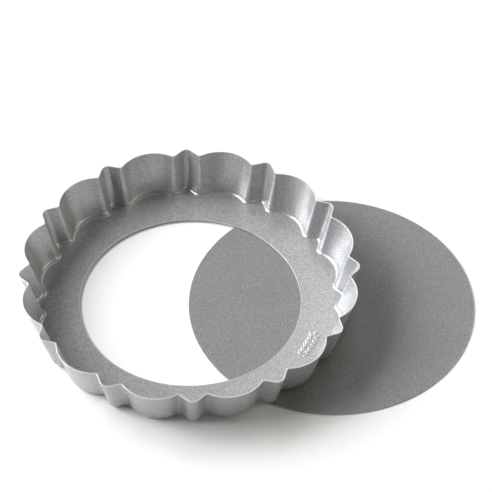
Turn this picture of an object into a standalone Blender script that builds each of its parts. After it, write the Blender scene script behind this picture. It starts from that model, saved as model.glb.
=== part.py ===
"""Fluted tart pan: a pressed ring with a flat inward ledge, and the loose round base that goes with it.

The ring's wall has wide and narrow lobes in turn, and flares from the foot to the rim. The base lies flat
on the surface, partly under the ring, as when the two pieces are laid out after a tart is taken out.

Frame: metres, +Z up. The surface that the pan stands on is Z = 0. The base slides along X, and the origin
is the centre of the whole footprint, on that surface.
"""

import math
from dataclasses import dataclass

import bmesh
import bpy
import numpy as np

MM = 0.001

# The ring, overall. All radii are to the outer face of the sheet.
RIM_RADIUS = 130.0 * MM  # from the axis to the lobes, at the rim
RING_HEIGHT = 35.7 * MM  # from the underside of the ledge to the rim
WALL_FLARE = 10.4 * MM  # how much further out the rim is than the foot
RING_SHEET = 0.9 * MM  # sheet thickness of the ring
BEND_RADIUS = 3.4 * MM  # inside the bend between ledge and wall

# The lobes: wide and narrow in turn.
LOBE_PAIRS = 12
NARROW_HALF_WIDTH = 10.7 * MM  # from a narrow lobe's middle to the centre of the valley beside it
RIM_LOBE_DEPTH = 6.9 * MM  # from the lobes' circle in to the valleys, at the rim
RIM_TIP_ROUND = 6.2 * MM  # radius of a narrow lobe's tip, at the rim
RIM_VALLEY_ROUND = 1.4 * MM  # radius in the valleys, at the rim
FOOT_LOBE_DEPTH = 6.1 * MM
FOOT_TIP_ROUND = 5.2 * MM
FOOT_VALLEY_ROUND = 4.6 * MM
LOBE_TURN = math.radians(3.0)  # how far the ring is turned about its axis from the base's slide line

# The loose base and how it lies.
BASE_SHEET = 1.0 * MM  # sheet thickness of the base
BASE_EDGE = 0.2 * MM  # bevel that breaks the base's edge
BASE_CLEARANCE = 0.4 * MM  # from the seated base's edge to where the bend starts, in the valleys
SEAT_WIDTH = 24.5 * MM  # how far the ledge reaches in under the seated base
BASE_SHIFT = 108.6 * MM  # from the ring's axis to the base's centre, as they lie
STACK_GAP = 0.3 * MM  # between the base's top and the ledge's underside

# How finely the curves are cut: segments in each arc of a half lobe, in the bend and round the base.
TIP_STEPS = 3
VALLEY_STEPS = 3
CREST_STEPS = 5
BEND_STEPS = 3
BASE_STEPS = 144

# Edges that turn more than this are shaded sharp: the trimmed edges, and not the bends.
RING_SHARP = math.radians(50)
BASE_SHARP = math.radians(30)

# The coatings: colour, roughness and metallic value.
RING_COATING = ((0.42, 0.43, 0.43), 0.42, 0.65)
BASE_COATING = ((0.36, 0.365, 0.37), 0.48, 0.60)

# Sizes that follow. The base lies on the flat of the ledge, so it ends short of the bend.
FOOT_RADIUS = RIM_RADIUS - WALL_FLARE
OUTER_BEND = BEND_RADIUS + RING_SHEET
VALLEY_FLARE = WALL_FLARE - RIM_LOBE_DEPTH + FOOT_LOBE_DEPTH
VALLEY_TURN = 0.5 * math.pi - math.atan2(VALLEY_FLARE, RING_HEIGHT)
BEND_REACH = OUTER_BEND * math.tan(0.5 * VALLEY_TURN)
BASE_RADIUS = FOOT_RADIUS - FOOT_LOBE_DEPTH - BEND_REACH - BASE_CLEARANCE
HOLE_RADIUS = BASE_RADIUS - SEAT_WIDTH
RING_BOTTOM = BASE_SHEET + STACK_GAP


@dataclass(frozen=True)
class LobeOutline:
    """The ring's plan outline at one height: tangent arcs and straight flanks."""

    radius: float
    depth: float
    tip_round: float
    valley_round: float

    def half_lobe(self):
        """Points from a narrow lobe's tip almost to the next wide lobe's crest, as complex numbers x + iy.

        The tip is on the positive real axis, and the crest itself is left to the caller.
        """
        half_pitch = math.pi / LOBE_PAIRS
        tip_centre = complex(self.radius - self.tip_round, 0.0)
        valley_reach = self.radius - self.depth + self.valley_round
        valley_angle = math.asin(NARROW_HALF_WIDTH / valley_reach)
        valley_centre = valley_reach * np.exp(1j * valley_angle)

        # The flank touches both circles from opposite sides.
        between = valley_centre - tip_centre
        lean = math.acos((self.tip_round + self.valley_round) / abs(between))
        flank_angle = float(np.angle(between)) - lean

        # The crest's circle is centred on the wide lobe's middle line and touches the valley's circle.
        middle = np.exp(1j * half_pitch)
        along = (valley_centre * middle.conjugate()).real
        spread = abs(valley_centre) ** 2 - 2.0 * self.radius * along + self.radius**2
        crest_round = (spread - self.valley_round**2) / (2.0 * (self.valley_round + self.radius - along))
        crest_centre = (self.radius - crest_round) * middle
        join_angle = float(np.angle(valley_centre - crest_centre))

        tip = arc(tip_centre, self.tip_round, 0.0, flank_angle, TIP_STEPS, True)
        valley_start = flank_angle + math.pi
        valley_end = join_angle + math.pi
        valley = arc(valley_centre, self.valley_round, valley_start, valley_end, VALLEY_STEPS, False)
        crest = arc(crest_centre, crest_round, join_angle, half_pitch, CREST_STEPS, False)
        return np.concatenate([tip, valley, crest])

    def points(self):
        """The whole closed outline, counter-clockwise, starting at a narrow lobe's tip."""
        half = self.half_lobe()
        pitch = 2.0 * math.pi / LOBE_PAIRS
        crest = self.radius * np.exp(0.5j * pitch)
        mirrored = np.conj(half[:0:-1]) * np.exp(1j * pitch)
        period = np.concatenate([half, [crest], mirrored])
        return np.concatenate([period * np.exp(1j * pitch * index) for index in range(LOBE_PAIRS)])


def arc(centre, radius, start, end, steps, with_end):
    """Points along an arc from angle start towards angle end, the end point only when with_end is set."""
    count = steps + 1 if with_end else steps
    angles = start + (end - start) * np.arange(count) / steps
    return centre + radius * np.exp(1j * angles)


def outline_side(points):
    """Unit vector square to a closed outline at each of its points, pointing out."""
    step = np.roll(points, -1) - np.roll(points, 1)
    return -1j * step / np.abs(step)


def section_rows(foot, rim):
    """The rows of the ring's outer and inner face, from the rim down and in to the hole.

    In the upright plane that holds a foot point and its rim point, the ledge's underside is level, the wall
    is straight, and the bend is an arc that touches both. The inner face lies one sheet thickness away along
    the face's normal. Each row is a pair of arrays: plan points and heights.
    """
    lean_vector = rim - foot
    outward = lean_vector / np.abs(lean_vector)
    lean = np.arctan2(np.abs(lean_vector), RING_HEIGHT)
    turn = 0.5 * math.pi - lean
    tangent_length = OUTER_BEND * np.tan(0.5 * turn)

    outer = []
    inner = []
    bend_centre = foot - outward * tangent_length
    for index in range(BEND_STEPS, -1, -1):
        angle = turn * index / BEND_STEPS
        plan = bend_centre + outward * OUTER_BEND * np.sin(angle)
        height = OUTER_BEND * (1.0 - np.cos(angle))
        side = outline_side(plan)
        # The normal is square to the outline's tangent and to the profile's own direction.
        out_part = np.sin(angle)
        down_part = np.cos(angle) * (side * np.conj(outward)).real
        scale = RING_SHEET / np.hypot(out_part, down_part)
        outer.append((plan, height))
        inner.append((plan - side * out_part * scale, height + down_part * scale))

    # The rim is trimmed level, so its edge is a little wider than the sheet is thick.
    side = outline_side(rim)
    across = (side * np.conj(outward)).real
    edge_width = RING_SHEET * np.hypot(1.0, np.tan(lean) * across)
    top = np.full(len(rim), RING_HEIGHT)
    outer.insert(0, (rim, top))
    inner.insert(0, (rim - side * edge_width, top))

    hole = HOLE_RADIUS * foot / np.abs(foot)
    ground = np.zeros(len(foot))
    outer.append((hole, ground))
    inner.append((hole, ground + RING_SHEET))
    return outer, inner


def ring_outlines():
    """The foot's and the rim's plan outlines, with matching points, turned by LOBE_TURN."""
    foot = LobeOutline(FOOT_RADIUS, FOOT_LOBE_DEPTH, FOOT_TIP_ROUND, FOOT_VALLEY_ROUND)
    rim = LobeOutline(RIM_RADIUS, RIM_LOBE_DEPTH, RIM_TIP_ROUND, RIM_VALLEY_ROUND)
    turn = np.exp(1j * LOBE_TURN)
    return foot.points() * turn, rim.points() * turn


def coating(name, color, roughness, metallic):
    """A coated steel surface as a Principled BSDF material."""
    material = bpy.data.materials.new(name)
    material.use_nodes = True
    shader = material.node_tree.nodes["Principled BSDF"]
    shader.inputs["Base Color"].default_value = (*color, 1.0)
    shader.inputs["Roughness"].default_value = roughness
    shader.inputs["Metallic"].default_value = metallic
    material.diffuse_color = (*color, 1.0)
    return material


def link_object(name, mesh, material, location, sharp_angle):
    """Put a mesh in the scene as a smooth-shaded object with its material."""
    mesh.materials.append(material)
    mesh.shade_smooth()
    mesh.set_sharp_from_angle(angle=sharp_angle)
    piece = bpy.data.objects.new(name, mesh)
    piece.location = location
    bpy.context.scene.collection.objects.link(piece)
    return piece


def build_ring(ring_x, foot, rim, material):
    """The fluted ring: its closed section carried round the outline, one quad per step."""
    outer, inner = section_rows(foot, rim)
    rows = outer + inner[::-1]
    shape = bmesh.new()
    grid = []
    for plan, height in rows:
        grid.append([shape.verts.new((p.real, p.imag, z)) for p, z in zip(plan, height)])
    count = len(foot)
    for row, next_row in zip(grid, grid[1:] + grid[:1]):
        for index in range(count):
            after = (index + 1) % count
            shape.faces.new((row[index], next_row[index], next_row[after], row[after]))
    bmesh.ops.recalc_face_normals(shape, faces=shape.faces)
    mesh = bpy.data.meshes.new("fluted_ring")
    shape.to_mesh(mesh)
    shape.free()
    return link_object("fluted_ring", mesh, material, (ring_x, 0.0, RING_BOTTOM), RING_SHARP)


def build_base(base_x, material):
    """The loose base: a flat round plate whose edge is broken by a small bevel."""
    shape = bmesh.new()
    bmesh.ops.create_circle(shape, cap_ends=True, radius=BASE_RADIUS, segments=BASE_STEPS)
    lifted = bmesh.ops.extrude_face_region(shape, geom=shape.faces[:])
    top = [item for item in lifted["geom"] if isinstance(item, bmesh.types.BMVert)]
    bmesh.ops.translate(shape, verts=top, vec=(0.0, 0.0, BASE_SHEET))
    level = [edge for edge in shape.edges if abs(edge.verts[0].co.z - edge.verts[1].co.z) < BASE_EDGE]
    bmesh.ops.bevel(shape, geom=level, offset=BASE_EDGE, segments=1, affect="EDGES")
    bmesh.ops.recalc_face_normals(shape, faces=shape.faces)
    mesh = bpy.data.meshes.new("loose_base")
    shape.to_mesh(mesh)
    shape.free()
    return link_object("loose_base", mesh, material, (base_x, 0.0, 0.0), BASE_SHARP)


def clear_scene():
    """Remove whatever the file starts with."""
    for item in list(bpy.data.objects):
        bpy.data.objects.remove(item, do_unlink=True)


def main():
    """Build both pieces where they lie."""
    clear_scene()
    foot, rim = ring_outlines()
    # The footprint runs from the ring's furthest lobe to the far edge of the base.
    ring_reach = -rim.real.min()
    ring_x = 0.5 * (ring_reach - BASE_SHIFT - BASE_RADIUS)
    build_ring(ring_x, foot, rim, coating("ring_coating", *RING_COATING))
    build_base(ring_x + BASE_SHIFT, coating("base_coating", *BASE_COATING))


main()
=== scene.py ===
"""Looks of a fluted tart pan: a pressed ring with a flat inward ledge, and its loose round base.

The frame gives where both pieces lie and how large they are. Each is remade here as a fine surface with
rounded trimmed edges and a silver-grey non-stick coating, and a wheat ear is pressed into the ledge.
"""

import logging
import math
from dataclasses import dataclass
from enum import Enum

import bpy
import numpy as np
from mathutils import Matrix, Vector
from numpy.typing import NDArray


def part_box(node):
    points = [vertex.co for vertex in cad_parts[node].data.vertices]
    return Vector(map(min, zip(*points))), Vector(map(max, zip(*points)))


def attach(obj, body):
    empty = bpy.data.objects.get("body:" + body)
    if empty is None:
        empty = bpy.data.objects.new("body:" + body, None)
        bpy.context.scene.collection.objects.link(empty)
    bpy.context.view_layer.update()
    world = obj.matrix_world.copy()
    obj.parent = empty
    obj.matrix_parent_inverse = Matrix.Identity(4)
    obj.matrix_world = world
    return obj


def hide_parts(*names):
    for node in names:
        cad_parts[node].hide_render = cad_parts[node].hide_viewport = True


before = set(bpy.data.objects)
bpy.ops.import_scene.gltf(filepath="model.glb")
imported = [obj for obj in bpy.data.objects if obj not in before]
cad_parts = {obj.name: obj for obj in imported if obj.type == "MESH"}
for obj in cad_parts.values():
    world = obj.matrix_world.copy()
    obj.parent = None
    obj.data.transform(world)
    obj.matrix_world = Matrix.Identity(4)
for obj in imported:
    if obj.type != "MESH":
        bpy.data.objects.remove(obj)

Plan = NDArray[np.complex128]
Floats = NDArray[np.float64]
Faces = NDArray[np.int64]

LOG = logging.getLogger("tart_pan")
MM = 0.001


class Stretch(Enum):
    """The stretches of the ring's section, from the rim down and in to the hole."""

    WALL = "wall"
    BEND = "bend"
    LEDGE = "ledge"


@dataclass(frozen=True)
class LobeOutline:
    """A closed plan outline of wide and narrow lobes in turn, made of tangent arcs and straight flanks.

    Attributes:
        radius: From the axis to the lobes.
        depth: From the lobes' circle in to the valleys.
        tip_round: Radius of a narrow lobe's tip.
        valley_round: Radius in the valleys.
        half_width: From a narrow lobe's middle to the centre of the valley beside it.
        pairs: How many wide and narrow lobes there are of each.
        tip_steps: Segments on half a narrow lobe's tip.
        flank_steps: Segments on a flank.
        valley_steps: Segments in a valley.
        crest_steps: Segments on half a wide lobe's crest.
    """

    radius: float
    depth: float
    tip_round: float
    valley_round: float
    half_width: float = 10.7 * MM
    pairs: int = 12
    tip_steps: int = 8
    flank_steps: int = 3
    valley_steps: int = 8
    crest_steps: int = 21

    def half_lobe(self) -> Plan:
        """Work out the outline from a narrow lobe's tip almost to the next wide lobe's crest.

        The flank touches the tip's and the valley's circles from opposite sides. The crest's circle is
        centred on the wide lobe's middle line, reaches the lobes' circle and touches the valley's circle.

        Returns:
            Points x + iy, with the tip on the positive real axis and the crest itself left out.
        """
        half_pitch = math.pi / self.pairs
        tip_centre = complex(self.radius - self.tip_round, 0.0)
        valley_reach = self.radius - self.depth + self.valley_round
        valley_centre = valley_reach * np.exp(1j * math.asin(self.half_width / valley_reach))
        between = valley_centre - tip_centre
        lean = math.acos((self.tip_round + self.valley_round) / abs(between))
        flank_angle = float(np.angle(between)) - lean

        middle = np.exp(1j * half_pitch)
        along = float((valley_centre * middle.conjugate()).real)
        spread = abs(valley_centre) ** 2 - 2.0 * self.radius * along + self.radius**2
        crest_round = (spread - self.valley_round**2) / (2.0 * (self.valley_round + self.radius - along))
        crest_centre = (self.radius - crest_round) * middle
        join_angle = float(np.angle(valley_centre - crest_centre))

        tip = arc(tip_centre, self.tip_round, (0.0, flank_angle), self.tip_steps)
        valley_angles = (flank_angle + math.pi, join_angle + math.pi)
        valley = arc(valley_centre, self.valley_round, valley_angles, self.valley_steps)
        flank_start = tip_centre + self.tip_round * np.exp(1j * flank_angle)
        shares = np.arange(self.flank_steps) / self.flank_steps
        flank = flank_start + (valley[0] - flank_start) * shares
        crest = arc(crest_centre, crest_round, (join_angle, half_pitch), self.crest_steps)
        return np.concatenate([tip, flank, valley, crest])

    def points(self, turn: float) -> Plan:
        """Close the outline, counter-clockwise.

        Args:
            turn: Angle of the first narrow lobe's tip from the positive real axis.

        Returns:
            The points of all the lobes.
        """
        half = self.half_lobe()
        pitch = 2.0 * math.pi / self.pairs
        crest = self.radius * np.exp(0.5j * pitch)
        mirrored = np.conj(half[:0:-1]) * np.exp(1j * pitch)
        period = np.concatenate([half, [crest], mirrored])
        turns = np.exp(1j * (turn + pitch * np.arange(self.pairs)))
        return (turns[:, None] * period[None, :]).ravel()


def arc(centre: complex, radius: float, angles: tuple[float, float], steps: int) -> Plan:
    """Points along an arc, the last one left out.

    Args:
        centre: The arc's centre.
        radius: The arc's radius.
        angles: The arc's first and last angle.
        steps: How many points.

    Returns:
        centre plus radius times the unit vector at each angle.
    """
    start, end = angles
    return centre + radius * np.exp(1j * (start + (end - start) * np.arange(steps) / steps))


def outline_side(points: Plan) -> Plan:
    """Unit vectors square to a closed outline, pointing out: the step between neighbours, turned right."""
    step = np.roll(points, -1) - np.roll(points, 1)
    return -1j * step / np.abs(step)


def make_object(name: str, corners: Floats, faces: Faces) -> bpy.types.Object:
    """Put corners and faces into a smooth-shaded object at the origin.

    Args:
        name: The piece's name.
        corners: One row of x, y and z per corner, in metres.
        faces: One row of corner numbers per face, three or four of them.

    Returns:
        The linked object.
    """
    mesh = bpy.data.meshes.new(name)
    sides = faces.shape[1]
    mesh.vertices.add(len(corners))
    mesh.vertices.foreach_set("co", corners.astype(np.float32).ravel())
    mesh.loops.add(faces.size)
    mesh.loops.foreach_set("vertex_index", faces.astype(np.int32).ravel())
    mesh.polygons.add(len(faces))
    mesh.polygons.foreach_set("loop_start", np.arange(0, faces.size, sides, dtype=np.int32))
    mesh.update(calc_edges=True)
    mesh.validate()
    mesh.shade_smooth()
    piece = bpy.data.objects.new(name, mesh)
    bpy.context.scene.collection.objects.link(piece)
    return piece


def ring_quads(rows: int, columns: int) -> Faces:
    """Faces of a grid that closes both ways, like a bent tube: each corner with the next row and column.

    Args:
        rows: Rows of corners.
        columns: Corners in a row.

    Returns:
        One row of four corner numbers per face.
    """
    row, column = np.meshgrid(np.arange(rows), np.arange(columns), indexing="ij")
    below = (row + 1) % rows
    after = (column + 1) % columns
    grid = [row * columns + column, below * columns + column, below * columns + after, row * columns + after]
    return np.stack(grid, axis=-1).reshape(-1, 4)


def capped_triangles(rows: int, columns: int, turned_round: bool) -> Faces:
    """Faces of a tube whose first and last rows close on poles.

    The grid's corners come first, then the first row's pole and the last row's pole.

    Args:
        rows: Rows of corners.
        columns: Corners in a row, round the tube.
        turned_round: Whether every face goes the other way round.

    Returns:
        One row of three corner numbers per face.
    """
    quads = ring_quads(rows, columns)[:-columns]
    column = np.arange(columns)
    after = (column + 1) % columns
    last = (rows - 1) * columns
    first_pole = np.full(columns, rows * columns)
    first_fan = np.stack([first_pole, column, after], axis=-1)
    last_fan = np.stack([first_pole + 1, last + after, last + column], axis=-1)
    fans = np.concatenate([first_fan, last_fan])
    if turned_round:
        quads = quads[:, ::-1]
        fans = fans[:, [0, 2, 1]]
    return np.concatenate([quads[:, [0, 1, 2]], quads[:, [0, 2, 3]], fans])


def point_attribute(piece: bpy.types.Object, name: str, values: Floats) -> None:
    """Give a piece's mesh one number per corner, for its material to read."""
    layer = piece.data.attributes.new(name, "FLOAT", "POINT")
    layer.data.foreach_set("value", values.astype(np.float32))


@dataclass(frozen=True)
class Coating:
    """A silver-grey non-stick coating: fine pigment mottling, metal flake and an orange-peel surface.

    Attributes:
        name: The material's name.
        color: Linear colour of the coating at its mean.
        wear_and_highlight_color: Linear colour of a trimmed edge: partly the coating rubbed thin there,
            partly a painted highlight along the edge.
        roughness: Mean roughness.
        metallic: How far the flake makes it reflect as metal.
        grain_size: Width of a grain of the mottling.
        grain_depth: How far the grains lighten and darken the colour.
        cloud_size: Width of the faint clouds of lighter and darker coating.
        cloud_tone: The colour's factor in the darkest and the lightest cloud.
        flake_size: Width of a flake.
        flake_tone: The colour's factor on the darkest and the lightest flake.
        flake_gloss: How far a flake's roughness strays from the mean.
        peel_size: Width of a dimple of the orange peel.
        peel_height: Height of the orange peel.
    """

    name: str
    color: tuple[float, float, float]
    wear_and_highlight_color: tuple[float, float, float]
    roughness: float
    metallic: float
    grain_size: float = 0.9 * MM
    grain_depth: float = 0.50
    cloud_size: float = 40.0 * MM
    cloud_tone: tuple[float, float] = (0.97, 1.03)
    flake_size: float = 0.7 * MM
    flake_tone: tuple[float, float] = (0.85, 1.15)
    flake_gloss: float = 0.03
    peel_size: float = 1.6 * MM
    peel_height: float = 0.02 * MM

    def material(self) -> bpy.types.Material:
        """Build the coating's node material.

        Returns:
            The material, whose patterns read Object coordinates and whose lighter edges, partly coating
            rubbed thin and partly a painted highlight, read "edge_wear_and_highlight".
        """
        material = bpy.data.materials.new(self.name)
        material.use_nodes = True
        tree = material.node_tree
        shader = tree.nodes["Principled BSDF"]
        shader.inputs["Metallic"].default_value = self.metallic
        place = tree.nodes.new("ShaderNodeTexCoord").outputs["Object"]

        grain = self.noise(tree, place, 1.0 / self.grain_size, 3.0)
        cloud = self.noise(tree, place, 1.0 / self.cloud_size, 2.0)
        flake = tree.nodes.new("ShaderNodeTexVoronoi")
        flake.inputs["Scale"].default_value = 1.0 / self.flake_size
        tree.links.new(place, flake.inputs["Vector"])
        split = tree.nodes.new("ShaderNodeSeparateColor")
        tree.links.new(flake.outputs["Color"], split.inputs["Color"])
        flake_value = split.outputs["Red"]

        grain_tone = (1.0 - self.grain_depth, 1.0 + self.grain_depth)
        light = self.spread(tree, grain, (0.25, 0.75), grain_tone)
        patch = self.spread(tree, cloud, (0.3, 0.7), self.cloud_tone)
        glint = self.spread(tree, flake_value, (0.0, 1.0), self.flake_tone)
        tone = self.product(tree, self.product(tree, light, patch), glint)

        scaled = tree.nodes.new("ShaderNodeVectorMath")
        scaled.operation = "SCALE"
        scaled.inputs[0].default_value = self.color
        tree.links.new(tone, scaled.inputs["Scale"])
        # Trimmed edges turn to the lighter edge colour, read from edge_wear_and_highlight: coating rubbed
        # thin there, and a painted highlight.
        wear_and_highlight = tree.nodes.new("ShaderNodeAttribute")
        wear_and_highlight.attribute_name = "edge_wear_and_highlight"
        mix = tree.nodes.new("ShaderNodeMix")
        mix.data_type = "RGBA"
        tree.links.new(wear_and_highlight.outputs["Fac"], mix.inputs["Factor"])
        tree.links.new(scaled.outputs["Vector"], mix.inputs["A"])
        mix.inputs["B"].default_value = (*self.wear_and_highlight_color, 1.0)
        tree.links.new(mix.outputs["Result"], shader.inputs["Base Color"])

        gloss = (self.roughness - self.flake_gloss, self.roughness + self.flake_gloss)
        tree.links.new(self.spread(tree, flake_value, (0.0, 1.0), gloss), shader.inputs["Roughness"])

        peel = self.noise(tree, place, 1.0 / self.peel_size, 2.0)
        bump = tree.nodes.new("ShaderNodeBump")
        bump.inputs["Strength"].default_value = 1.0
        bump.inputs["Distance"].default_value = self.peel_height
        tree.links.new(peel, bump.inputs["Height"])
        tree.links.new(bump.outputs["Normal"], shader.inputs["Normal"])
        return material

    @staticmethod
    def noise(
        tree: bpy.types.NodeTree, place: bpy.types.NodeSocket, scale: float, detail: float
    ) -> bpy.types.NodeSocket:
        """Add fractal noise at a place.

        Args:
            tree: The material's node tree.
            place: Where the noise is read.
            scale: Grains in a metre.
            detail: Octaves.

        Returns:
            The noise's value, about 0.5.
        """
        node = tree.nodes.new("ShaderNodeTexNoise")
        node.inputs["Scale"].default_value = scale
        node.inputs["Detail"].default_value = detail
        node.inputs["Roughness"].default_value = 0.6
        tree.links.new(place, node.inputs["Vector"])
        return node.outputs["Fac"]

    @staticmethod
    def spread(
        tree: bpy.types.NodeTree,
        value: bpy.types.NodeSocket,
        source: tuple[float, float],
        target: tuple[float, float],
    ) -> bpy.types.NodeSocket:
        """Map a value from one range to another, held inside it.

        Args:
            tree: The material's node tree.
            value: The value to map.
            source: The range it comes from.
            target: The range it goes to.

        Returns:
            The mapped value.
        """
        node = tree.nodes.new("ShaderNodeMapRange")
        node.inputs["From Min"].default_value, node.inputs["From Max"].default_value = source
        node.inputs["To Min"].default_value, node.inputs["To Max"].default_value = target
        tree.links.new(value, node.inputs["Value"])
        return node.outputs["Result"]

    @staticmethod
    def product(
        tree: bpy.types.NodeTree, first: bpy.types.NodeSocket, second: bpy.types.NodeSocket
    ) -> bpy.types.NodeSocket:
        """Multiply two values.

        Args:
            tree: The material's node tree.
            first: One value.
            second: The other value.

        Returns:
            Their product.
        """
        node = tree.nodes.new("ShaderNodeMath")
        node.operation = "MULTIPLY"
        tree.links.new(first, node.inputs[0])
        tree.links.new(second, node.inputs[1])
        return node.outputs["Value"]


@dataclass
class FlutedRing:
    """The pressed ring: a flared wall of lobes, a bend at its foot and a flat ledge in to a round hole.

    Every row of the surface is a stretch of the section, a share along it, and a depth into the sheet from
    its outer face. All sizes match the CAD piece, which the finished surface stands for.

    Attributes:
        flare: How much further out the rim is than the foot.
        sheet: Thickness of the sheet.
        bend_radius: Inside the bend between ledge and wall.
        rim_depth: From the lobes' circle in to the valleys, at the rim.
        rim_tip_round: Radius of a narrow lobe's tip, at the rim.
        rim_valley_round: Radius in the valleys, at the rim.
        foot_depth: From the lobes' circle in to the valleys, at the foot.
        foot_tip_round: Radius of a narrow lobe's tip, at the foot.
        foot_valley_round: Radius in the valleys, at the foot.
        hole_radius: Radius of the ledge's hole.
        lobe_turn: Angle of the first narrow lobe from +X.
        edge_round: Radius of a trimmed edge.
        hole_wear_and_highlight: How far the hole's edge takes the lighter edge colour, where the rim's takes
            it fully: coating rubbed thin, and a painted highlight.
        edge_steps: Segments in each quarter circle of a trimmed edge.
        wall_rows: Rows up the wall, below its edge.
        bend_rows: Rows inside the bend.
        ledge_rows: Rows across the ledge, outside the hole's edge.
    """

    flare: float = 10.4 * MM
    sheet: float = 0.9 * MM
    bend_radius: float = 3.4 * MM
    rim_depth: float = 6.9 * MM
    rim_tip_round: float = 6.2 * MM
    rim_valley_round: float = 1.4 * MM
    foot_depth: float = 6.1 * MM
    foot_tip_round: float = 5.2 * MM
    foot_valley_round: float = 4.6 * MM
    hole_radius: float = 85.304 * MM
    lobe_turn: float = math.radians(3.0)
    edge_round: float = 0.3 * MM
    hole_wear_and_highlight: float = 0.3
    edge_steps: int = 4
    wall_rows: int = 14
    bend_rows: int = 7
    ledge_rows: int = 10

    def __post_init__(self) -> None:
        """Take the ring's place and overall size from its CAD box."""
        low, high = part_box("fluted_ring")
        self.centre = complex(0.5 * (low.x + high.x), 0.5 * (low.y + high.y))
        self.bottom = low.z
        self.height = high.z - low.z
        # The box's half width is a narrow lobe's tip circle, turned a little off the box's axis.
        half_width = 0.5 * (high.x - low.x)
        tip_reach = (half_width - self.rim_tip_round) / math.cos(self.lobe_turn)
        rim_radius = tip_reach + self.rim_tip_round
        rim = LobeOutline(rim_radius, self.rim_depth, self.rim_tip_round, self.rim_valley_round)
        foot_radius = rim_radius - self.flare
        foot = LobeOutline(foot_radius, self.foot_depth, self.foot_tip_round, self.foot_valley_round)
        self.rim = rim.points(self.lobe_turn)
        self.foot = foot.points(self.lobe_turn)
        lean_vector = self.rim - self.foot
        self.outward = lean_vector / np.abs(lean_vector)
        self.turn = 0.5 * math.pi - np.arctan2(np.abs(lean_vector), self.height)
        self.outer_bend = self.bend_radius + self.sheet
        self.tangent = self.outer_bend * np.tan(0.5 * self.turn)

    def row(self, stretch: Stretch, share: float, depth: float) -> tuple[Plan, Floats]:
        """Place one row of the surface.

        On the wall a point goes in a straight line from the bend's end to the rim. On the bend it goes round
        an arc of the outer bend radius that touches wall and ledge. On the ledge it goes in a straight line
        to the hole. Then it moves into the sheet along the surface's normal, which is square to the
        outline's tangent and to the section's own direction.

        Args:
            stretch: Which stretch of the section.
            share: How far along it: 0 at the bend, 1 at the rim or the hole. On the bend, 0 at the ledge.
            depth: How far into the sheet from its outer face.

        Returns:
            The row's plan points and heights, about the ring's own axis and underside.
        """
        angle = self.turn * {Stretch.WALL: 1.0, Stretch.BEND: share, Stretch.LEDGE: 0.0}[stretch]
        plan = self.foot - self.outward * self.tangent + self.outward * self.outer_bend * np.sin(angle)
        height = self.outer_bend * (1.0 - np.cos(angle))
        if stretch is Stretch.WALL:
            plan = plan + (self.rim - plan) * share
            height = height + (self.height - height) * share
        if stretch is Stretch.LEDGE:
            hole = self.hole_radius * self.foot / np.abs(self.foot)
            plan = plan + (hole - plan) * share
        side = outline_side(plan)
        out_part = np.sin(angle)
        down_part = np.cos(angle) * (side * np.conj(self.outward)).real
        scale = depth / np.hypot(out_part, down_part)
        return plan - side * out_part * scale, height + down_part * scale

    def edge_profile(self) -> list[tuple[float, float]]:
        """Round a trimmed edge: two quarter circles with the sheet's thickness between their far sides.

        Returns:
            Distance back from the edge and depth from the outer face, from the outer face to the inner.
        """
        quarter = 0.5 * math.pi * np.arange(self.edge_steps + 1) / self.edge_steps
        back = self.edge_round * (1.0 - np.sin(quarter))
        depth = self.edge_round * (1.0 - np.cos(quarter))
        outer = list(zip(back.tolist(), depth.tolist()))
        inner = [(distance, self.sheet - deep) for distance, deep in reversed(outer)]
        return outer + inner

    def section(self) -> list[tuple[Stretch, float, float, float]]:
        """List the rows round the section: up the outside, over the rim, down the inside and in to the hole.

        Returns:
            Stretch, share, depth and edge lightening of every row, in order round the closed section; the
            lightening stands for coating rubbed thin and a painted highlight.
        """
        wall_length = self.height - self.outer_bend
        ledge_length = float(np.abs(self.foot).max()) - self.hole_radius
        edge = self.edge_profile()
        rim_edge = [(Stretch.WALL, 1.0 - back / wall_length, depth) for back, depth in edge]
        hole_edge = [(Stretch.LEDGE, 1.0 - back / ledge_length, depth) for back, depth in edge]
        wall = [(Stretch.WALL, share) for share in np.linspace(0.0, 0.975, self.wall_rows).tolist()]
        bend = [(Stretch.BEND, share) for share in np.linspace(0.125, 0.875, self.bend_rows).tolist()]
        ledge = [(Stretch.LEDGE, share) for share in np.linspace(0.0, 0.96, self.ledge_rows).tolist()]
        rows = [(stretch, share, 0.0, 0.0) for stretch, share in bend + wall]
        # The rim's rounded edge gets the full lighter colour: coating rubbed thin and a painted highlight
        # line.
        rows += [(stretch, share, depth, 1.0) for stretch, share, depth in rim_edge]
        rows += [(stretch, share, self.sheet, 0.0) for stretch, share in (bend + wall)[::-1] + ledge]
        rows += [(stretch, share, depth, self.hole_wear_and_highlight) for stretch, share, depth in hole_edge[::-1]]
        rows += [(stretch, share, 0.0, 0.0) for stretch, share in ledge[::-1]]
        return rows

    def build(self, coating: bpy.types.Material) -> bpy.types.Object:
        """Make the ring's surface, dress it and let it stand for the CAD ring.

        Args:
            coating: The ring's material.

        Returns:
            The finished piece.
        """
        rows = self.section()
        placed = [self.row(stretch, share, depth) for stretch, share, depth, _ in rows]
        plan = np.stack([points for points, _ in placed]) + self.centre
        height = np.stack([np.broadcast_to(level, plan.shape[1:]) for _, level in placed])
        height = np.minimum(height, self.height) + self.bottom
        corners = np.stack([plan.real, plan.imag, height], axis=-1).reshape(-1, 3)
        piece = make_object("pressed_ring", corners, ring_quads(*plan.shape)[:, ::-1])
        # Per corner share of the lighter edge colour: coating rubbed thin and a painted highlight.
        wear_and_highlight = np.repeat([worn_and_lit for *_, worn_and_lit in rows], plan.shape[1])
        point_attribute(piece, "edge_wear_and_highlight", wear_and_highlight)
        piece.data.materials.append(coating)
        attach(piece, "ring")
        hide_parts("fluted_ring")
        return piece


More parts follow.
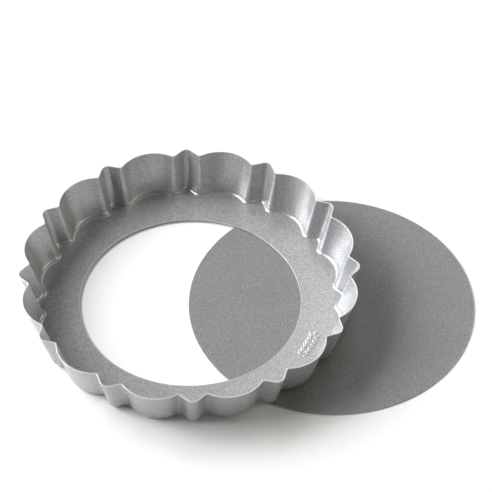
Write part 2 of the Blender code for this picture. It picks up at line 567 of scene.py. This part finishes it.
@dataclass
class LooseBase:
    """The loose base: a flat round plate, a profile turned about its own axis.

    Attributes:
        edge_round: Radius of the trimmed edge.
        edge_steps: Segments in each quarter circle of the edge.
        turns: Corners round the plate.
        rings: Rings across each flat face.
    """

    edge_round: float = 0.3 * MM
    edge_steps: int = 4
    turns: int = 480
    rings: int = 24

    def __post_init__(self) -> None:
        """Take the plate's place and size from its CAD box."""
        low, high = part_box("loose_base")
        self.centre = complex(0.5 * (low.x + high.x), 0.5 * (low.y + high.y))
        self.radius = 0.5 * (high.y - low.y)
        self.bottom = low.z
        self.sheet = high.z - low.z

    def profile(self) -> tuple[Floats, Floats, Floats]:
        """Go from near the underside's middle out, round the edge and back over the top.

        Returns:
            Radius, height and edge lightening along the profile: the rounded edge takes the lighter colour,
            for coating rubbed thin and a painted highlight.
        """
        quarter = 0.5 * math.pi * np.arange(self.edge_steps + 1) / self.edge_steps
        flat = np.linspace(0.0, self.radius - 2.0 * self.edge_round, self.rings + 1)[1:]
        edge_out = self.radius - self.edge_round + self.edge_round * np.sin(quarter)
        edge_up = self.edge_round * (1.0 - np.cos(quarter))
        radius = np.concatenate([flat, edge_out, edge_out[::-1], flat[::-1]])
        height = np.concatenate([0.0 * flat, edge_up, self.sheet - edge_up[::-1], 0.0 * flat + self.sheet])
        # The rounded edge gets the lighter colour: coating rubbed thin and a painted highlight.
        unworn_and_unlit = np.zeros_like(flat)
        worn_and_lit = np.ones_like(edge_up)
        wear_and_highlight = np.concatenate([unworn_and_unlit, worn_and_lit, worn_and_lit, unworn_and_unlit])
        return radius, height, wear_and_highlight

    def build(self, coating: bpy.types.Material) -> bpy.types.Object:
        """Turn the profile, close both middles with fans, dress the plate and let it stand for the CAD base.

        Args:
            coating: The base's material.

        Returns:
            The finished piece.
        """
        radius, height, wear_and_highlight = self.profile()
        spin = np.exp(2j * math.pi * np.arange(self.turns) / self.turns)
        plan = radius[:, None] * spin[None, :] + self.centre
        level = np.broadcast_to(height[:, None] + self.bottom, plan.shape)
        corners = np.stack([plan.real, plan.imag, level], axis=-1).reshape(-1, 3)
        middle = [self.centre.real, self.centre.imag]
        poles = np.array([[*middle, self.bottom], [*middle, self.bottom + self.sheet]])
        corners = np.concatenate([corners, poles])
        triangles = capped_triangles(len(radius), self.turns, turned_round=True)
        piece = make_object("base_plate", corners, triangles)
        point_attribute(piece, "edge_wear_and_highlight", np.concatenate([np.repeat(wear_and_highlight, self.turns), [0.0, 0.0]]))
        piece.data.materials.append(coating)
        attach(piece, "base")
        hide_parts("loose_base")
        return piece


@dataclass
class WheatEar:
    """A plain ear of wheat pressed up from the ledge: a curved stem with pairs of grains and one at the tip.

    Everything lies along an arc about the ring's axis, on top of the ledge, and dips a little below it.

    Attributes:
        ledge_level: Height of the ledge's top.
        centre: The ring's axis.
        arc_radius: From the axis to the stem.
        middle_angle: Angle of the ear's middle from +X.
        length: From the stem's end to the ear's tip.
        stem_half_width: Half the stem's greatest width.
        stem_share: How far along the ear the stem goes.
        stem_relief: The stem's height as a share of a grain's.
        stem_steps: Segments along the stem.
        relief: How high a grain stands over the ledge.
        dip: How far a grain's underside lies below the ledge's top.
        pairs: How many pairs of grains.
        grain_shares: Where along the ear the first and the last pair stand.
        tip_share: Where along the ear the grain at its tip stands.
        grain_half_length: Half a grain's length.
        grain_half_width: Half a grain's width.
        grain_lean: Angle between a paired grain and the stem.
        grain_offset: From the stem's middle line to a paired grain's middle.
        wear_and_highlight: How far the whole ear takes the lighter edge colour: a painted highlight on the
            raised grains, with coating rubbed thin.
        rings: Rings on a grain's dome.
        turns: Corners round a grain and round the stem.
    """

    ledge_level: float
    centre: complex
    arc_radius: float = 101.5 * MM
    middle_angle: float = math.radians(-27.5)
    length: float = 40.0 * MM
    stem_half_width: float = 0.7 * MM
    stem_share: float = 0.92
    stem_relief: float = 0.66
    stem_steps: int = 48
    relief: float = 0.55 * MM
    dip: float = 0.08 * MM
    pairs: int = 6
    grain_shares: tuple[float, float] = (0.36, 0.86)
    tip_share: float = 0.96
    grain_half_length: float = 3.7 * MM
    grain_half_width: float = 1.6 * MM
    grain_lean: float = math.radians(33.0)
    grain_offset: float = 2.9 * MM
    wear_and_highlight: float = 0.25
    rings: int = 7
    turns: int = 28

    def along(self, share: Floats) -> tuple[Plan, Plan]:
        """Points and forward directions on the ear's arc.

        Args:
            share: 0 at the stem's end, 1 at the ear's tip.

        Returns:
            The arc's points about the world's axis, and its unit tangents, counter-clockwise.
        """
        angle = self.middle_angle + (share - 0.5) * self.length / self.arc_radius
        spoke = np.exp(1j * angle)
        return self.centre + self.arc_radius * spoke, 1j * spoke

    def grain(self, middle: complex, heading: complex) -> tuple[Floats, Faces]:
        """Make one grain, a low dome over a drop-shaped outline, closed underneath.

        With ring number rho from 0 to 1 and angle phi, a point stands rho cos(phi) half lengths ahead and
        rho sin(phi) half widths aside, narrowed towards the front by a quarter of cos(phi). Its height is
        the relief times one less the fourth power of rho, less the dip. The underside is flat at the dip.

        Args:
            middle: The grain's centre.
            heading: Unit vector along the grain, to its front.

        Returns:
            Corners and triangles.
        """
        rho = np.arange(1, self.rings + 1)[:, None] / self.rings
        phi = 2.0 * math.pi * np.arange(self.turns)[None, :] / self.turns
        ahead = self.grain_half_length * rho * np.cos(phi)
        aside = self.grain_half_width * rho * np.sin(phi) * (1.0 - 0.25 * np.cos(phi))
        plan = middle + heading * (ahead + 1j * aside)
        level = self.ledge_level - self.dip + (self.relief + self.dip) * (1.0 - rho**4) + 0.0 * phi
        corners = np.stack([plan.real, plan.imag, level], axis=-1).reshape(-1, 3)
        top = [middle.real, middle.imag, self.ledge_level + self.relief]
        under = [middle.real, middle.imag, self.ledge_level - self.dip]
        corners = np.concatenate([corners, [top, under]])
        return corners, capped_triangles(self.rings, self.turns, turned_round=False)

    def stem(self) -> tuple[Floats, Faces]:
        """Make the stem, a flattened tube along the arc that narrows to a point at both ends.

        Round the tube, a point stands cos(phi) half widths aside and sin(phi) times the stem's relief high,
        both scaled by the square root of sin(pi share) so that the ends close.

        Returns:
            Corners and triangles.
        """
        share = np.arange(1, self.stem_steps) / self.stem_steps
        phi = 2.0 * math.pi * np.arange(self.turns) / self.turns
        points, forward = self.along(self.stem_share * share)
        swell = np.sqrt(np.sin(math.pi * share))[:, None]
        aside = swell * self.stem_half_width * np.cos(phi)[None, :]
        level = self.ledge_level + swell * self.stem_relief * self.relief * np.sin(phi)[None, :]
        plan = points[:, None] - 1j * forward[:, None] * aside
        ends, _ = self.along(np.array([0.0, self.stem_share]))
        corners = np.stack([plan.real, plan.imag, level], axis=-1).reshape(-1, 3)
        poles = np.stack([ends.real, ends.imag, np.full(2, self.ledge_level)], axis=-1)
        corners = np.concatenate([corners, poles])
        return corners, capped_triangles(self.stem_steps - 1, self.turns, turned_round=True)

    def build(self, coating: bpy.types.Material) -> bpy.types.Object:
        """Join the stem and all the grains into one piece on the ledge.

        Args:
            coating: The ring's material.

        Returns:
            The finished piece.
        """
        points, forward = self.along(np.linspace(*self.grain_shares, self.pairs))
        parts = [self.stem()]
        for side in (-1.0, 1.0):
            heading = forward * np.exp(1j * side * self.grain_lean)
            middles = points + 1j * side * forward * self.grain_offset
            parts += [self.grain(middle, ahead) for middle, ahead in zip(middles, heading)]
        tip, tip_forward = self.along(np.array([self.tip_share]))
        parts.append(self.grain(tip[0], tip_forward[0]))
        starts = np.cumsum([0] + [len(corners) for corners, _ in parts])[:-1]
        corners = np.concatenate([part[0] for part in parts])
        faces = np.concatenate([part[1] + start for part, start in zip(parts, starts)])
        piece = make_object("pressed_wheat_ear", corners, faces)
        # The whole ear is made a little lighter: a painted highlight on the raised mark.
        point_attribute(piece, "edge_wear_and_highlight", np.full(len(corners), self.wear_and_highlight))
        piece.data.materials.append(coating)
        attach(piece, "ring")
        return piece


@dataclass(frozen=True)
class SoftBox:
    """A square soft light that looks at the origin.

    Attributes:
        name: The light's name.
        azimuth: Where it stands, in degrees counter-clockwise from +X.
        elevation: How high it stands, in degrees.
        power: Watts.
        side: Length of its side.
        distance: From the origin, under the pan.
        color: Its linear colour.
    """

    name: str
    azimuth: float
    elevation: float
    power: float
    side: float = 0.45
    distance: float = 0.8
    color: tuple[float, float, float] = (1.0, 1.0, 1.0)

    def build(self) -> bpy.types.Object:
        """Place the light on its sphere and turn it to the origin.

        Returns:
            The linked light.
        """
        data = bpy.data.lights.new(self.name, "AREA")
        data.energy = self.power
        data.size = self.side
        data.color = self.color
        light = bpy.data.objects.new(self.name, data)
        around = math.radians(self.azimuth)
        rise = math.radians(self.elevation)
        level = self.distance * math.cos(rise)
        light.location = (level * math.cos(around), level * math.sin(around), self.distance * math.sin(rise))
        light.rotation_euler = light.location.to_track_quat("Z", "Y").to_euler()
        bpy.context.scene.collection.objects.link(light)
        return light


@dataclass(frozen=True)
class Studio:
    """The plain pale floor, the soft light and the camera.

    Attributes:
        lights: The soft lights.
        sky: Strength of the even light from all round.
        floor_half: Half the floor's side.
        floor_level: Height of the floor, just under the pan.
        floor_glow: Light that the floor gives off itself.
        target: What the camera looks at.
        azimuth: The camera's turn about the target, in degrees, from looking along +Y.
        elevation: How far the camera looks down, in degrees.
        roll: The camera's turn about its view line, in degrees.
        distance: From the camera to the target.
        lens: Focal length in millimetres.
        sensor: Width of the camera's sensor in millimetres.
    """

    lights: tuple[SoftBox, ...]
    sky: float = 0.02
    floor_half: float = 4.0
    floor_level: float = -0.2 * MM
    floor_glow: float = 0.03
    target: tuple[float, float, float] = (-2.0 * MM, 43.2 * MM, 18.0 * MM)
    azimuth: float = 0.889
    elevation: float = 47.12
    roll: float = 0.164
    distance: float = 1.9813
    lens: float = 186.55
    sensor: float = 36.0

    def floor(self) -> bpy.types.Object:
        """Lay a pale floor just under the pan and keep it out of the object.

        Returns:
            The floor.
        """
        sides = self.floor_half * np.array([[-1.0, -1.0], [1.0, -1.0], [1.0, 1.0], [-1.0, 1.0]])
        corners = np.column_stack([sides, np.full(4, self.floor_level)])
        floor = make_object("pale_floor", corners, np.array([[0, 1, 2, 3]]))
        material = bpy.data.materials.new("pale_floor")
        material.use_nodes = True
        shader = material.node_tree.nodes["Principled BSDF"]
        shader.inputs["Base Color"].default_value = (0.9, 0.9, 0.9, 1.0)
        shader.inputs["Roughness"].default_value = 0.9
        shader.inputs["Emission Color"].default_value = (1.0, 1.0, 1.0, 1.0)
        shader.inputs["Emission Strength"].default_value = self.floor_glow
        floor.data.materials.append(material)
        return floor

    def world(self) -> None:
        """Fill the room with even pale light."""
        world = bpy.data.worlds.new("studio")
        world.use_nodes = True
        background = world.node_tree.nodes["Background"]
        background.inputs["Color"].default_value = (1.0, 1.0, 1.0, 1.0)
        background.inputs["Strength"].default_value = self.sky
        bpy.context.scene.world = world

    def camera(self) -> bpy.types.Object:
        """Stand the camera on its sphere about the target and look at it, rolled about the view line.

        Returns:
            The scene's camera.
        """
        around = math.radians(self.azimuth)
        rise = math.radians(self.elevation)
        level = math.cos(rise)
        forward = Vector((-math.sin(around) * level, math.cos(around) * level, -math.sin(rise)))
        right = forward.cross(Vector((0.0, 0.0, 1.0))).normalized()
        up = right.cross(forward)
        tilt = math.radians(self.roll)
        rolled_right = right * math.cos(tilt) + up * math.sin(tilt)
        rolled_up = rolled_right.cross(forward)
        turned = Matrix((rolled_right, rolled_up, -forward)).transposed().to_4x4()
        data = bpy.data.cameras.new("camera")
        data.lens = self.lens
        data.sensor_width = self.sensor
        camera = bpy.data.objects.new("camera", data)
        camera.matrix_world = Matrix.Translation(Vector(self.target) - forward * self.distance) @ turned
        bpy.context.scene.collection.objects.link(camera)
        bpy.context.scene.camera = camera
        return camera

    def build(self) -> None:
        """Set up the floor, the light, the camera and a plain colour transform."""
        self.floor()
        self.world()
        for light in self.lights:
            light.build()
        self.camera()
        bpy.context.scene.view_settings.view_transform = "Standard"


RING_COATING = Coating(
    name="silver_ring_coating",
    color=(0.47, 0.476, 0.485),
    # Light grey on trimmed edges: coating rubbed thin, and a painted highlight line along the rim and the
    # hole.
    wear_and_highlight_color=(0.78, 0.78, 0.78),
    roughness=0.32,
    metallic=0.50,
    grain_depth=0.38,
)
BASE_COATING = Coating(
    name="silver_base_coating",
    color=(0.243, 0.246, 0.251),
    wear_and_highlight_color=(0.38, 0.38, 0.38),
    # Lighter grey round the base's edge: coating rubbed thin, and a painted highlight.
    roughness=0.50,
    metallic=0.22,
)

STUDIO = Studio(
    lights=(
        SoftBox("key_left", 180.0, 35.0, 144.0, side=2.3, distance=4.0),
        SoftBox("key_back_left", 157.0, 35.0, 102.0, side=2.3, distance=4.0, color=(1.0, 0.98, 0.98)),
        SoftBox("key_back", 135.0, 35.0, 54.0, side=2.3, distance=4.0, color=(0.92, 1.0, 1.06)),
        SoftBox("sheen_back", 66.0, 42.0, 0.70),
        SoftBox("sheen_high", 60.0, 65.0, 0.45, color=(1.05, 1.0, 0.95)),
        SoftBox("fill_right", 0.0, 15.0, 1.9, color=(1.08, 1.0, 0.84)),
        SoftBox("fill_front", 320.0, 25.0, 0.25, color=(1.06, 1.0, 0.90)),
        SoftBox("spark_top", 280.0, 72.0, 0.15, side=0.12),
    )
)


def main() -> None:
    """Build the pan and the studio, and log how many faces each piece has."""
    logging.basicConfig(level=logging.INFO, format="%(name)s: %(message)s")
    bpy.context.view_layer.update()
    STUDIO.build()
    ring = FlutedRing()
    ring_coating = RING_COATING.material()
    pieces = [
        ring.build(ring_coating),
        WheatEar(ring.bottom + ring.sheet, ring.centre).build(ring_coating),
        LooseBase().build(BASE_COATING.material()),
    ]
    for piece in pieces:
        LOG.info("%s: %d faces", piece.name, len(piece.data.polygons))


if __name__ == "__main__":
    main()
